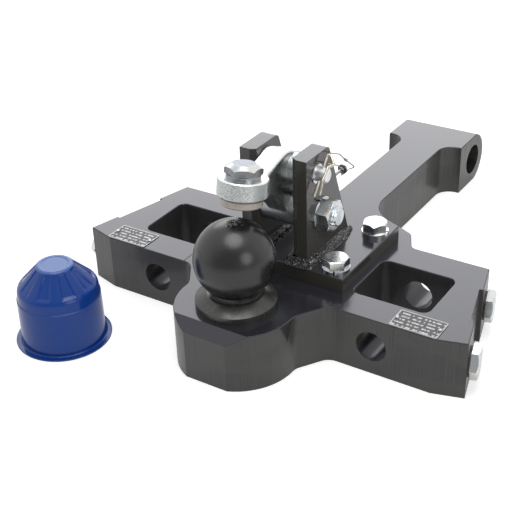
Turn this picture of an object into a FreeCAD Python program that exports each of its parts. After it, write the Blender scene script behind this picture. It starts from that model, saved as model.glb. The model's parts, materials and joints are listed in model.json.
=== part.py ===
import FreeCAD, Part
import math
import os

# Tractor ball hitch: a thick cut steel body that carries the towing ball, with two pinned ears and
# a tail eye to hold it on the tractor, and a swinging hold-down on a bolted bracket over the ball.
# The underside lies on z = 0, the ball stands on the z axis and the tail points along +y.

# Towing ball
ball_diameter = 80.0
ball_centre_height = 111.0
ball_neck_diameter = 51.0
ball_top_flat_diameter = 12.0
centre_drill_diameter = 3.5
centre_drill_depth = 4.0
collar_diameter = 81.0
collar_side_height = 6.5
collar_cone_height = 7.0
collar_cone_top_diameter = 57.0
shank_diameter = 45.0
shank_clearance = 0.05

# Body plate
body_thickness = 62.0
nose_radius = 62.0
nose_flat_distance = 57.3
nose_bevel_setback = 12.3
nose_bevel_depth = 9.5
flank_foot_y = 6.5
flank_top_x = 82.2
flank_blend_radius = 15.0
ear_front_y = 37.8
ear_rear_y = 179.0
ear_shoulder_x = 191.0
ear_tip_x = 222.8
ear_tip_y = 46.6
ear_rear_corner_x = 188.7
hip_inner_x = 102.0
hip_outer_x = 88.5
hip_outer_y = 206.0
hip_radius = 10.0
waist_corner_y = 233.0
waist_radius = 45.0
body_edge_chamfer = 0.8

# Window in each ear, and the bore for the cross pin that runs through it
window_inner_x = 87.9
window_outer_x = 169.3
window_front_y = 72.8
window_rear_y = 142.9
window_corner_radius = 8.5
ear_bore_x = 128.0
ear_bore_diameter = 32.0

# Key slot and bolts in each slanted ear end
key_slot_start = 34.5
key_slot_length = 61.0
key_slot_depth = 4.3

# Tail arm and its cross eye
arm_width = 54.0
tail_head_width = 99.0
tail_head_front_y = 430.0
tail_head_fillet_share = 0.85
tail_bore_y = 469.0
tail_bore_diameter = 38.0
tail_end_radius = 32.5

# Bracket plate and its four bolts
plate_thickness = 15.0
plate_width = 163.2
plate_front_y = 65.6
plate_rear_y = 189.3
plate_edge_chamfer = 0.8
plate_bolt_x = 66.0
plate_bolt_front_y = 80.5
plate_bolt_rear_y = 164.6
plate_bolt_diameter = 16.0
plate_bolt_flats = 24.0
plate_bolt_head_height = 10.0
plate_bolt_reach = 28.0
plate_washer_diameter = 28.5
plate_washer_thickness = 4.0
bolt_hole_clearance = 0.5
thread_clearance = 0.1

# Uprights that carry the hold-down
upright_gap = 41.0
upright_thickness = 17.5
upright_front_y = 72.0
upright_top_z = 190.7
upright_top_rear_y = 115.9
upright_foot_rear_y = 157.8
upright_top_radius = 7.0
upright_nib_width = 6.0
upright_nib_depth = 3.4
weld_width = 8.5
weld_height = 6.0

# Hold-down pivot
pivot_y = 97.5
pivot_z = 126.0
pivot_bolt_diameter = 20.0
pivot_bolt_flats = 30.0
pivot_bolt_head_height = 12.5
pivot_washer_diameter = 33.6
pivot_washer_thickness = 3.5
pivot_nut_height = 14.5
pivot_bolt_overrun = 4.5
pivot_thread_pitch = 2.5
pivot_thread_depth = 1.0
pivot_hole_clearance = 0.15
bush_wall = 2.5
bush_running_clearance = 0.05
side_clearance = 0.5

# Hold-down arm
web_thickness = 24.6
web_edge_radius = 4.0
web_hub_radius = 22.2
web_crest_before_lock = 10.8
web_crest_above_lock = 23.4
web_crest_radius = 25.0
web_shoulder_behind_lock = 20.5
web_shoulder_above_lock = 9.7
web_shoulder_radius = 14.0
web_throat_before_lock = 38.0
web_throat_below_lock = 14.6
web_throat_radius = 20.0
web_toe_width = 25.3
web_toe_drop = 5.4
pivot_boss_diameter = 40.0
lock_boss_diameter = 31.0
eye_diameter = 49.4
eye_height = 19.8
eye_tilt = 10.0
eye_foot_chamfer = 3.0
eye_top_chamfer = 1.2
pad_foot_y = 16.5
pad_foot_z = 162.3
pad_diameter = 40.4
pad_thickness = 7.2
pad_edge_chamfer = 1.0
pad_floor = 3.0

# Hold-down bolt
clamp_bolt_diameter = 20.0
clamp_bolt_flats = 32.0
clamp_bolt_head_height = 10.0
clamp_bolt_crown_diameter = 23.0
clamp_bolt_crown_drop = 3.0
clamp_washer_diameter = 34.0
clamp_washer_thickness = 3.5
washer_split = 2.0

# Side lock pin, its guide ring and spring clip
lock_y = 92.0
lock_z = 171.0
lock_pin_diameter = 15.0
lock_pin_end_x = 50.5
lock_pin_tip_gap = 0.3
lock_pin_clearance = 0.15
lock_hole_diameter = 17.0
lock_pin_chamfer = 1.2
guide_ring_diameter = 19.8
guide_ring_thickness = 1.2
clip_wire_diameter = 2.8
clip_hole_clearance = 0.3
clip_hole_offset = 1.2
clip_inner_x = 43.2
clip_end_gap = 0.35
clip_lean = 52.0
clip_leg_below = 23.0
clip_head_rise = 21.5
clip_head_reach = 2.5
clip_shoulder_rise = 12.0
clip_outer_leg_offset = 11.9
clip_bend_radius = 2.2

# Lanyard screw in the right upright's rear edge, and the wire loop on it
lanyard_screw_x = 34.0
lanyard_screw_z = 149.4
lanyard_screw_diameter = 3.2
lanyard_screw_reach = 20.0
lanyard_screw_depth = 8.0
lanyard_head_diameter = 10.4
lanyard_head_thickness = 1.5
lanyard_wire_diameter = 1.3
lanyard_bend_radius = 2.0
lanyard_gap = 0.4
loop_top_x = 42.0
loop_top_run = 22.8
loop_top_drop = 11.0
loop_middle_x = 40.0
loop_middle_run = 36.9
loop_middle_drop = 22.5
loop_end_run = 27.4
loop_end_drop = 9.9
loop_return_run = 18.4
loop_return_drop = 7.9
crimp_diameter = 3.0
crimp_length = 6.0

# Bolts in the ear ends
end_bolt_diameter = 20.0
end_bolt_flats = 30.0
end_bolt_head_height = 8.0
end_bolt_reach = 22.0
end_washer_diameter = 30.0
end_washer_thickness = 2.0

# Bare rating plates and their rivets
rating_plate_inner_x = 144.8
rating_plate_length = 49.5
rating_plate_front_y = 38.8
rating_plate_depth = 28.5
rating_plate_thickness = 0.8
rating_plate_corner = 2.0
rivet_inset = 2.9
rivet_diameter = 2.4
rivet_head_diameter = 4.2
rivet_head_height = 1.0
rivet_depth = 5.0

# Ball cap that stands beside the hitch
cap_x = -176.8
cap_y = -62.5
cap_wall = 2.2
cap_height = 86.0
cap_rim_diameter = 98.8
cap_rim_thickness = 1.6
cap_foot_diameter = 86.8
cap_step_height = 50.0
cap_step_diameter = 85.4
cap_step_width = 0.8
cap_shoulder_height = 62.0
cap_shoulder_diameter = 83.0
cap_top_diameter = 35.4
cap_rib_count = 8
cap_rib_angle = 24.0
cap_rib_height = 1.0

# Worked out sizes
half_gap = upright_gap / 2
tail_head_fillet = tail_head_fillet_share * (tail_head_width - arm_width) / 2
upright_face_x = half_gap + upright_thickness
plate_top_z = body_thickness + plate_thickness
half_thickness = body_thickness / 2
ear_end_length = math.hypot(ear_tip_x - ear_rear_corner_x, ear_rear_y - ear_tip_y)
ear_end_along = (
    (ear_rear_corner_x - ear_tip_x) / ear_end_length,
    (ear_rear_y - ear_tip_y) / ear_end_length,
)
ear_end_angle = math.degrees(math.atan2(-ear_end_along[0], ear_end_along[1]))
tilt_sine = math.sin(math.radians(eye_tilt))
tilt_cosine = math.cos(math.radians(eye_tilt))
bush_diameter = pivot_bolt_diameter + 2 * (bush_running_clearance + bush_wall)
lean_cosine = math.cos(math.radians(clip_lean))
lean_sine = math.sin(math.radians(clip_lean))
X_AXIS = FreeCAD.Vector(1, 0, 0)
Y_AXIS = FreeCAD.Vector(0, 1, 0)
Z_AXIS = FreeCAD.Vector(0, 0, 1)
ORIGIN = FreeCAD.Vector(0, 0, 0)


def in_plan(x, y):
    """A point of an outline seen from above, on the underside plane."""
    return FreeCAD.Vector(x, y, 0)


def in_side(y, z):
    """A point of an outline seen from the side, on the middle plane."""
    return FreeCAD.Vector(0, y, z)


def in_section(radius, z):
    """A point of a half section that is turned about the z axis."""
    return FreeCAD.Vector(radius, 0, z)


def mirrored(shape):
    """The same shape on the other side of the middle plane."""
    return shape.mirror(ORIGIN, X_AXIS)


def corner_arc(before, here, after):
    """Start, middle and end of the arc that rounds a corner (a, b, radius) of an outline."""
    to_before = FreeCAD.Vector(before[0] - here[0], before[1] - here[1], 0).normalize()
    to_after = FreeCAD.Vector(after[0] - here[0], after[1] - here[1], 0).normalize()
    half_angle = to_before.getAngle(to_after) / 2
    corner = FreeCAD.Vector(here[0], here[1], 0)
    tangent = here[2] / math.tan(half_angle)
    to_middle = here[2] / math.sin(half_angle) - here[2]
    middle = corner + (to_before + to_after).normalize() * to_middle
    return corner + to_before * tangent, middle, corner + to_after * tangent


def outline(corners, place):
    """A flat face inside the corners (a, b, radius); place turns a and b into a point."""
    count = len(corners)
    arcs = []
    for index, here in enumerate(corners):
        if here[2] > 0:
            arcs.append(corner_arc(corners[index - 1], here, corners[(index + 1) % count]))
        else:
            point = FreeCAD.Vector(here[0], here[1], 0)
            arcs.append((point, None, point))
    edges = []
    for index, (start, middle, end) in enumerate(arcs):
        if middle is not None:
            edges.append(Part.Arc(place(start.x, start.y), place(middle.x, middle.y),
                                  place(end.x, end.y)).toShape())
        following = arcs[(index + 1) % count][0]
        if end.distanceToPoint(following) > 1e-6:
            edges.append(Part.makeLine(place(end.x, end.y), place(following.x, following.y)))
    return Part.Face(Part.Wire(edges))


def both_sides(corners):
    """The corners of a right half outline, followed by the same corners mirrored."""
    return corners + [(-x, y, radius) for x, y, radius in reversed(corners)]


def turned(corners):
    """A solid of revolution about the z axis from the corners (radius, z, rounding)."""
    return outline(corners, in_section).revolve(ORIGIN, Z_AXIS, 360)


def box_between(x0, x1, y0, y1, z0, z1):
    """A block from its lowest and highest corners."""
    return Part.makeBox(x1 - x0, y1 - y0, z1 - z0, FreeCAD.Vector(x0, y0, z0))


def rod_x(diameter, x0, x1, y, z):
    """A round bar along x."""
    return Part.makeCylinder(diameter / 2, x1 - x0, FreeCAD.Vector(x0, y, z), X_AXIS)


def rod_z(diameter, x, y, z0, z1):
    """A round bar along z."""
    return Part.makeCylinder(diameter / 2, z1 - z0, FreeCAD.Vector(x, y, z0), Z_AXIS)


def chamfered(shape, size, chosen):
    """The shape with a chamfer on every edge that the test picks."""
    return shape.makeChamfer(size, [edge for edge in shape.Edges if chosen(edge)])


def edge_at_height(edge, z):
    """Whether an edge lies in the level plane at z."""
    return abs(edge.BoundBox.ZMin - z) < 1e-4 and abs(edge.BoundBox.ZMax - z) < 1e-4


def hexagon(flats, height, turn=0.0):
    """A hexagonal prism on the z = 0 plane."""
    corner_radius = flats / math.sqrt(3)
    points = []
    for index in range(7):
        angle = math.radians(60 * index + turn)
        points.append(FreeCAD.Vector(corner_radius * math.cos(angle), corner_radius * math.sin(angle), 0))
    return Part.Face(Part.makePolygon(points)).extrude(Z_AXIS * height)


def hex_head(flats, height, crown_diameter, crown_drop, turn=0.0):
    """A hexagon head whose top corners are turned down to a round crown."""
    prism = hexagon(flats, height, turn)
    reach = flats / math.sqrt(3) + 0.5
    crown = crown_diameter / 2
    slope = crown_drop / (flats / 2 - crown)
    cone_foot = height - slope * (reach - crown)
    turned_block = turned([(0, 0, 0), (reach, 0, 0), (reach, cone_foot, 0), (crown, height, 0), (0, height, 0)])
    return prism.common(turned_block)


def hex_bolt(diameter, flats, head_height, shank_length, crown_diameter, crown_drop, turn=0.0):
    """A bolt along z, with its head above z = 0 and its shank below."""
    head = hex_head(flats, head_height, crown_diameter, crown_drop, turn)
    point = min(1.5, diameter / 10)
    shank = turned([
        (0, -shank_length, 0),
        (diameter / 2 - point, -shank_length, 0),
        (diameter / 2, -shank_length + point, 0),
        (diameter / 2, 0, 0),
        (0, 0, 0),
    ])
    return head.fuse(shank).removeSplitter()


def plain_bolt(diameter, flats, head_height, shank_length, turn=0.0):
    """A standard bolt, whose crown is almost as wide as its flats."""
    return hex_bolt(diameter, flats, head_height, shank_length, flats - 1.0, 0.3, turn)


def spring_washer(outer_diameter, hole_diameter, thickness, split_angle=0.0):
    """A split ring on the z = 0 plane."""
    ring = Part.makeCylinder(outer_diameter / 2, thickness)
    ring = ring.cut(Part.makeCylinder(hole_diameter / 2, thickness))
    gap = box_between(hole_diameter / 4, outer_diameter, -washer_split / 2, washer_split / 2, 0, thickness)
    gap.rotate(ORIGIN, Z_AXIS, split_angle)
    return ring.cut(gap)


def tube_path(points, bend_radius):
    """Straight runs through the points, with an arc of one radius at each inner point."""
    edges = []
    last = points[0]
    for before, here, after in zip(points, points[1:], points[2:]):
        to_before = (before - here).normalize()
        to_after = (after - here).normalize()
        half_angle = to_before.getAngle(to_after) / 2
        tangent = bend_radius / math.tan(half_angle)
        to_middle = bend_radius / math.sin(half_angle) - bend_radius
        middle = here + (to_before + to_after).normalize() * to_middle
        start = here + to_before * tangent
        end = here + to_after * tangent
        edges.append(Part.makeLine(last, start))
        edges.append(Part.Arc(start, middle, end).toShape())
        last = end
    edges.append(Part.makeLine(last, points[-1]))
    return Part.Wire(edges)


def bent_wire(points, diameter, bend_radius):
    """A round wire bent along the points."""
    path = tube_path(points, bend_radius)
    direction = (points[1] - points[0]).normalize()
    section = Part.Wire([Part.makeCircle(diameter / 2, points[0], direction)])
    return path.makePipeShell([section], True, True)


def onto_ear_end(shape, along, height):
    """Stands a shape made along +z on the right ear's slanted end, at a distance from its front corner."""
    moved = shape.copy()
    moved.rotate(ORIGIN, Y_AXIS, 90)
    moved.rotate(ORIGIN, Z_AXIS, ear_end_angle)
    moved.translate(FreeCAD.Vector(
        ear_tip_x + ear_end_along[0] * along,
        ear_tip_y + ear_end_along[1] * along,
        height,
    ))
    return moved


def end_bolt_places():
    """Distances along an ear's end of the bolts, each in the middle of its land."""
    slot_end = key_slot_start + key_slot_length
    return [key_slot_start / 2, (slot_end + ear_end_length) / 2]


def plate_bolt_places():
    """Centres of the four bolts that hold the bracket plate."""
    return [(x, y) for x in (-plate_bolt_x, plate_bolt_x) for y in (plate_bolt_front_y, plate_bolt_rear_y)]


def onto_tilt(shape, distance):
    """Puts a shape made along +z on the tilted axis of the hold-down eye, above the pad's foot."""
    moved = shape.copy()
    moved.rotate(ORIGIN, X_AXIS, -eye_tilt)
    moved.translate(FreeCAD.Vector(0, pad_foot_y + tilt_sine * distance, pad_foot_z + tilt_cosine * distance))
    return moved


def clip_point(x, along, aside=0.0):
    """A point by the spring clip: how far up its legs from the pin's axis, and how far behind them."""
    return FreeCAD.Vector(
        x,
        lock_y + lean_cosine * along + lean_sine * aside,
        lock_z + lean_sine * along - lean_cosine * aside,
    )


def make_body_outline():
    """The body seen from above, without its round nose."""
    half_arm = arm_width / 2
    half_head = tail_head_width / 2
    tail_end_y = tail_bore_y + tail_end_radius
    right_half = [
        (nose_radius, 0, 0),
        (nose_radius, flank_foot_y, flank_blend_radius),
        (flank_top_x, ear_front_y, flank_blend_radius),
        (ear_shoulder_x, ear_front_y, 0),
        (ear_tip_x, ear_tip_y, 0),
        (ear_rear_corner_x, ear_rear_y, 0),
        (hip_inner_x, ear_rear_y, hip_radius),
        (hip_outer_x, hip_outer_y, hip_radius),
        (half_arm, waist_corner_y, waist_radius),
        (half_arm, tail_head_front_y, tail_head_fillet),
        (half_head, tail_head_front_y, 0),
        (half_head, tail_end_y, 0),
    ]
    return outline(both_sides(right_half), in_plan)


def make_hitch_body():
    """The body plate with its nose, windows, bores, key slots and bolt holes."""
    body = make_body_outline().extrude(Z_AXIS * body_thickness)
    body = body.fuse(Part.makeCylinder(nose_radius, body_thickness)).removeSplitter()
    reach = 2 * nose_radius
    front = box_between(-reach, reach, -reach, -nose_flat_distance, 0, body_thickness)
    bevel = outline([
        (-nose_flat_distance + nose_bevel_setback, body_thickness, 0),
        (-reach, body_thickness, 0),
        (-reach, body_thickness - nose_bevel_depth * (reach - nose_flat_distance + nose_bevel_setback)
         / nose_bevel_setback, 0),
    ], in_side).extrude(X_AXIS * 2 * reach)
    bevel.translate(FreeCAD.Vector(-reach, 0, 0))
    body = body.cut(front.fuse(bevel))
    body = body.cut(make_tail_cutter())
    for window in make_windows():
        body = body.cut(window)
    body = chamfered(body, body_edge_chamfer, is_top_rim)
    return body.cut(Part.makeCompound(make_body_holes()))


def is_top_rim(edge):
    """Whether an edge of the body is on its top outline, behind the nose's bevel."""
    return edge_at_height(edge, body_thickness) and edge.BoundBox.YMin > 0.5


def make_tail_cutter():
    """What is cut away to round the tail's end about its bore."""
    reach = 2 * tail_end_radius
    block = box_between(-tail_head_width, tail_head_width, tail_bore_y, tail_bore_y + reach, -reach, 2 * reach)
    return block.cut(rod_x(2 * tail_end_radius, -tail_head_width, tail_head_width, tail_bore_y, half_thickness))


def make_windows():
    """The two windows through the ears."""
    corners = [
        (window_inner_x, window_front_y, window_corner_radius),
        (window_outer_x, window_front_y, window_corner_radius),
        (window_outer_x, window_rear_y, window_corner_radius),
        (window_inner_x, window_rear_y, window_corner_radius),
    ]
    window = outline(corners, in_plan).extrude(Z_AXIS * body_thickness)
    return [window, mirrored(window)]


def make_body_holes():
    """Every bore, slot and bolt hole of the body."""
    reach = ear_rear_y - ear_front_y
    bore = Part.makeCylinder(ear_bore_diameter / 2, reach, FreeCAD.Vector(ear_bore_x, ear_front_y, half_thickness),
                             Y_AXIS)
    slot = box_between(-body_thickness, body_thickness, 0, key_slot_length, -key_slot_depth, key_slot_depth)
    slot = onto_ear_end(slot, key_slot_start, half_thickness)
    holes = [bore, mirrored(bore), slot, mirrored(slot)]
    bolt_hole = Part.makeCylinder(end_bolt_diameter / 2 + thread_clearance, end_bolt_reach + key_slot_depth,
                                  ORIGIN, -Z_AXIS)
    for along in end_bolt_places():
        placed = onto_ear_end(bolt_hole, along, half_thickness)
        holes += [placed, mirrored(placed)]
    holes.append(rod_x(tail_bore_diameter, -tail_head_width, tail_head_width, tail_bore_y, half_thickness))
    holes.append(rod_z(shank_diameter + 2 * shank_clearance, 0, 0, 0, body_thickness))
    for x, y in plate_bolt_places():
        holes.append(rod_z(plate_bolt_diameter + 2 * thread_clearance, x, y,
                           body_thickness - plate_bolt_reach - thread_clearance, body_thickness))
    for x in rivet_places():
        holes.append(rod_z(rivet_diameter, x, rating_plate_front_y + rating_plate_depth / 2,
                           body_thickness - rivet_depth, body_thickness))
    return holes


def make_ball():
    """The ball with its neck, its seating collar and the shank through the body."""
    ball_radius = ball_diameter / 2
    neck_radius = ball_neck_diameter / 2
    flat_radius = ball_top_flat_diameter / 2
    neck_top = ball_centre_height - math.sqrt(ball_radius**2 - neck_radius**2)
    flat_z = ball_centre_height + math.sqrt(ball_radius**2 - flat_radius**2)
    cone_foot = body_thickness + collar_side_height
    cone_top = cone_foot + collar_cone_height
    drill_radius = centre_drill_diameter / 2
    corners = [
        in_section(0, 0),
        in_section(shank_diameter / 2, 0),
        in_section(shank_diameter / 2, body_thickness),
        in_section(collar_diameter / 2, body_thickness),
        in_section(collar_diameter / 2, cone_foot),
        in_section(collar_cone_top_diameter / 2, cone_top),
        in_section(neck_radius, cone_top + 0.6),
        in_section(neck_radius, neck_top),
    ]
    edges = [Part.makeLine(start, end) for start, end in zip(corners, corners[1:])]
    side = in_section(ball_radius, ball_centre_height)
    edges.append(Part.Arc(corners[-1], side, in_section(flat_radius, flat_z)).toShape())
    top = [
        in_section(flat_radius, flat_z),
        in_section(drill_radius, flat_z),
        in_section(drill_radius, flat_z - centre_drill_depth),
        in_section(0, flat_z - centre_drill_depth - drill_radius),
        in_section(0, 0),
    ]
    edges += [Part.makeLine(start, end) for start, end in zip(top, top[1:])]
    return Part.Face(Part.Wire(edges)).revolve(ORIGIN, Z_AXIS, 360)


def make_bracket_plate():
    """The flat plate that the uprights are welded to."""
    plate = box_between(-plate_width / 2, plate_width / 2, plate_front_y, plate_rear_y, body_thickness, plate_top_z)
    plate = chamfered(plate, plate_edge_chamfer, lambda edge: edge_at_height(edge, plate_top_z))
    for x, y in plate_bolt_places():
        plate = plate.cut(rod_z(plate_bolt_diameter + 2 * bolt_hole_clearance, x, y, body_thickness, plate_top_z))
    return plate


def upright_corners():
    """An upright seen from the side."""
    return [
        (upright_front_y, plate_top_z, 0),
        (upright_foot_rear_y, plate_top_z, 0),
        (upright_top_rear_y, upright_top_z, upright_top_radius),
        (upright_front_y, upright_top_z, 0),
    ]


def make_upright():
    """The right upright, with its pivot and lock pin holes and its thinned front inner edge."""
    upright = outline(upright_corners(), in_side).extrude(X_AXIS * upright_thickness)
    upright.translate(X_AXIS * half_gap)
    nib = outline([
        (half_gap, upright_front_y, 0),
        (half_gap + upright_nib_width, upright_front_y, 0),
        (half_gap, upright_front_y + upright_nib_depth, 0),
    ], in_plan).extrude(Z_AXIS * upright_top_z)
    upright = upright.cut(nib)
    pivot_hole = rod_x(pivot_bolt_diameter + 2 * pivot_hole_clearance, half_gap, upright_face_x, pivot_y, pivot_z)
    lock_hole = rod_x(lock_pin_diameter + 2 * lock_pin_clearance, half_gap, upright_face_x, lock_y, lock_z)
    return upright.cut(pivot_hole).cut(lock_hole)


def make_weld():
    """The weld bead round the foot of the right upright."""
    foot = [
        (half_gap, upright_front_y),
        (upright_face_x, upright_front_y),
        (upright_face_x, upright_foot_rear_y),
        (half_gap, upright_foot_rear_y),
    ]
    wires = []
    for spread, z in ((weld_width, plate_top_z), (0.5, plate_top_z + weld_height)):
        grown = [
            FreeCAD.Vector(x + spread * math.copysign(1, x - (half_gap + upright_face_x) / 2),
                           y + spread * math.copysign(1, y - pivot_y), z)
            for x, y in foot
        ]
        wires.append(Part.makePolygon(grown + grown[:1]))
    bead = Part.makeLoft(wires, True, True)
    upright = outline(upright_corners(), in_side).extrude(X_AXIS * upright_thickness)
    upright.translate(X_AXIS * half_gap)
    return bead.cut(upright)


def make_plate_bolts():
    """The four bolts of the bracket plate."""
    bolts = []
    seat = plate_top_z + plate_washer_thickness
    for index, (x, y) in enumerate(plate_bolt_places()):
        bolt = plain_bolt(plate_bolt_diameter, plate_bolt_flats, plate_bolt_head_height,
                          plate_washer_thickness + plate_thickness + plate_bolt_reach, 17.0 * index)
        bolt.translate(FreeCAD.Vector(x, y, seat))
        bolts.append(bolt)
    return Part.makeCompound(bolts)


def make_plate_washers():
    """The spring washers under the bracket plate's bolts."""
    washers = []
    for index, (x, y) in enumerate(plate_bolt_places()):
        washer = spring_washer(plate_washer_diameter, plate_bolt_diameter + 2 * bolt_hole_clearance,
                               plate_washer_thickness, 80.0 * index + 130)
        washer.translate(FreeCAD.Vector(x, y, plate_top_z))
        washers.append(washer)
    return Part.makeCompound(washers)


def along_x(shape, x, y, z):
    """Turns a shape made along +z to point along +x at a place."""
    moved = shape.copy()
    moved.rotate(ORIGIN, Y_AXIS, 90)
    moved.translate(FreeCAD.Vector(x, y, z))
    return moved


def thread_groove(diameter, pitch, depth, z):
    """A ring of V section that cuts one turn of a thread about the z axis."""
    radius = diameter / 2
    return turned([
        (radius - depth, z, 0),
        (radius + depth, z - pitch * 0.45 * (1 + 1 / depth), 0),
        (radius + depth, z + pitch * 0.45 * (1 + 1 / depth), 0),
    ])


def make_pivot_bolt():
    """The bolt that the hold-down swings on, with the turns of its thread beyond the nut."""
    nut_face = upright_face_x + pivot_washer_thickness + pivot_nut_height
    length = upright_face_x + nut_face + pivot_bolt_overrun
    bolt = plain_bolt(pivot_bolt_diameter, pivot_bolt_flats, pivot_bolt_head_height, length, 8.0)
    for turn in range(int(pivot_bolt_overrun / pivot_thread_pitch)):
        z = pivot_bolt_overrun - length - pivot_thread_pitch * (turn + 0.7)
        bolt = bolt.cut(thread_groove(pivot_bolt_diameter, pivot_thread_pitch, pivot_thread_depth, z))
    return mirrored(along_x(bolt, upright_face_x, pivot_y, pivot_z))


def make_pivot_washer():
    """The spring washer under the pivot bolt's nut."""
    washer = spring_washer(pivot_washer_diameter, pivot_bolt_diameter + 2 * bolt_hole_clearance,
                           pivot_washer_thickness, 200)
    return along_x(washer, upright_face_x, pivot_y, pivot_z)


def make_pivot_nut():
    """The nut on the pivot bolt's end, on the lock pin's side."""
    nut = hex_head(pivot_bolt_flats, pivot_nut_height, pivot_bolt_flats - 1.0, 0.3, 8.0)
    nut = nut.cut(Part.makeCylinder(pivot_bolt_diameter / 2 + thread_clearance, pivot_nut_height))
    return along_x(nut, upright_face_x + pivot_washer_thickness, pivot_y, pivot_z)


def make_pivot_bush():
    """The bush in the hold-down's hub, turning on the pivot bolt."""
    reach = half_gap - side_clearance
    bush = rod_x(bush_diameter, -reach, reach, pivot_y, pivot_z)
    bore = pivot_bolt_diameter + 2 * bush_running_clearance
    return bush.cut(rod_x(bore, -reach, reach, pivot_y, pivot_z))


def eye_point(across, along):
    """A point of the side view by the tilted eye: behind its axis, and above the pad's foot."""
    return (
        pad_foot_y + tilt_sine * along + tilt_cosine * across,
        pad_foot_z + tilt_cosine * along - tilt_sine * across,
        0,
    )


def web_corners():
    """The hold-down arm's web seen from the side, from the eye over the crest to the hub."""
    eye_radius = eye_diameter / 2
    eye_top = pad_thickness + eye_height
    hub_rear_y = pivot_y + web_hub_radius
    hub_foot_z = pivot_z - web_hub_radius
    return [
        eye_point(eye_radius / 2, eye_top - 8),
        eye_point(eye_radius - 1, eye_top - 0.5),
        (lock_y - web_crest_before_lock, lock_z + web_crest_above_lock, web_crest_radius),
        (lock_y + web_shoulder_behind_lock, lock_z + web_shoulder_above_lock, web_shoulder_radius),
        (hub_rear_y, pivot_z, 0.9 * web_hub_radius),
        (hub_rear_y, hub_foot_z, 0.75 * web_hub_radius),
        (pivot_y, hub_foot_z, 0.4 * web_hub_radius),
        (lock_y - web_throat_before_lock, lock_z - web_throat_below_lock, web_throat_radius),
        eye_point(web_toe_width, pad_thickness - web_toe_drop),
        eye_point(eye_radius - eye_foot_chamfer / 2, pad_thickness + eye_foot_chamfer / 2 + 0.3),
        eye_point(eye_radius / 2, eye_top - 13),
    ]


def make_web():
    """The web of the hold-down arm, with its long edges rounded."""
    web = outline(web_corners(), in_side).extrude(X_AXIS * web_thickness)
    web.translate(X_AXIS * (-web_thickness / 2))
    round_start = eye_point(web_toe_width, pad_thickness - web_toe_drop)[0] - 0.01
    sides = [edge for edge in web.Edges
             if edge.BoundBox.XLength < 1e-4 and edge.BoundBox.YMin > round_start]
    return web.makeFillet(web_edge_radius, sides)


def make_hold_down_arm():
    """The cast arm: eye, web, pivot hub and lock boss."""
    eye_radius = eye_diameter / 2
    eye = turned([
        (0, 0, 0),
        (eye_radius - eye_foot_chamfer, 0, 0),
        (eye_radius, eye_foot_chamfer, 0),
        (eye_radius, eye_height - eye_top_chamfer, 0),
        (eye_radius - eye_top_chamfer, eye_height, 0),
        (0, eye_height, 0),
    ])
    reach = half_gap - side_clearance
    arm = make_web()
    arm = arm.fuse(onto_tilt(eye, pad_thickness))
    arm = arm.fuse(rod_x(pivot_boss_diameter, -reach, reach, pivot_y, pivot_z))
    arm = arm.fuse(rod_x(lock_boss_diameter, -reach, reach, lock_y, lock_z))
    arm = arm.cut(rod_x(bush_diameter, -reach, reach, pivot_y, pivot_z))
    arm = arm.cut(rod_x(lock_hole_diameter, -reach, reach, lock_y, lock_z))
    bolt_hole = Part.makeCylinder(clamp_bolt_diameter / 2 + bolt_hole_clearance, eye_height + 8)
    return arm.cut(onto_tilt(bolt_hole, pad_thickness - 4))


def make_clamp_bolt():
    """The bolt that holds the pad under the eye."""
    seat = pad_thickness + eye_height + clamp_washer_thickness
    bolt = hex_bolt(clamp_bolt_diameter, clamp_bolt_flats, clamp_bolt_head_height, seat - pad_floor,
                    clamp_bolt_crown_diameter, clamp_bolt_crown_drop, 34.0)
    return onto_tilt(bolt, seat)


def make_clamp_washer():
    """The spring washer under the clamp bolt's head."""
    washer = spring_washer(clamp_washer_diameter, clamp_bolt_diameter + 2 * bolt_hole_clearance,
                           clamp_washer_thickness, 215)
    return onto_tilt(washer, pad_thickness + eye_height)


def make_pad():
    """The wear pad that bears on the coupling over the ball."""
    radius = pad_diameter / 2
    pad = turned([
        (0, 0, 0),
        (radius - pad_edge_chamfer, 0, 0),
        (radius, pad_edge_chamfer, 0),
        (radius, pad_thickness, 0),
        (0, pad_thickness, 0),
    ])
    socket = Part.makeCylinder(clamp_bolt_diameter / 2 + thread_clearance, pad_thickness,
                               FreeCAD.Vector(0, 0, pad_floor))
    return onto_tilt(pad.cut(socket), 0)


def make_lock_pin():
    """The side lock pin with its cross hole for the clip."""
    radius = lock_pin_diameter / 2
    start = half_gap - side_clearance + lock_pin_tip_gap
    length = lock_pin_end_x - start
    pin = turned([
        (0, 0, 0),
        (radius - lock_pin_chamfer, 0, 0),
        (radius, lock_pin_chamfer, 0),
        (radius, length - lock_pin_chamfer, 0),
        (radius - lock_pin_chamfer, length, 0),
        (0, length, 0),
    ])
    pin = along_x(pin, start, lock_y, lock_z)
    hole = Part.makeCylinder(clip_wire_diameter / 2 + clip_hole_clearance, 2 * lock_pin_diameter,
                             clip_point(clip_inner_x, -lock_pin_diameter, -clip_hole_offset),
                             clip_point(0, 1) - clip_point(0, 0))
    return pin.cut(hole)


def make_guide_ring():
    """The ring on the upright's face that guides the lock pin."""
    ring = rod_x(guide_ring_diameter, upright_face_x, upright_face_x + guide_ring_thickness, lock_y, lock_z)
    bore = lock_pin_diameter + 2 * lock_pin_clearance
    return ring.cut(rod_x(bore, upright_face_x, upright_face_x + guide_ring_thickness, lock_y, lock_z))


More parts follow.
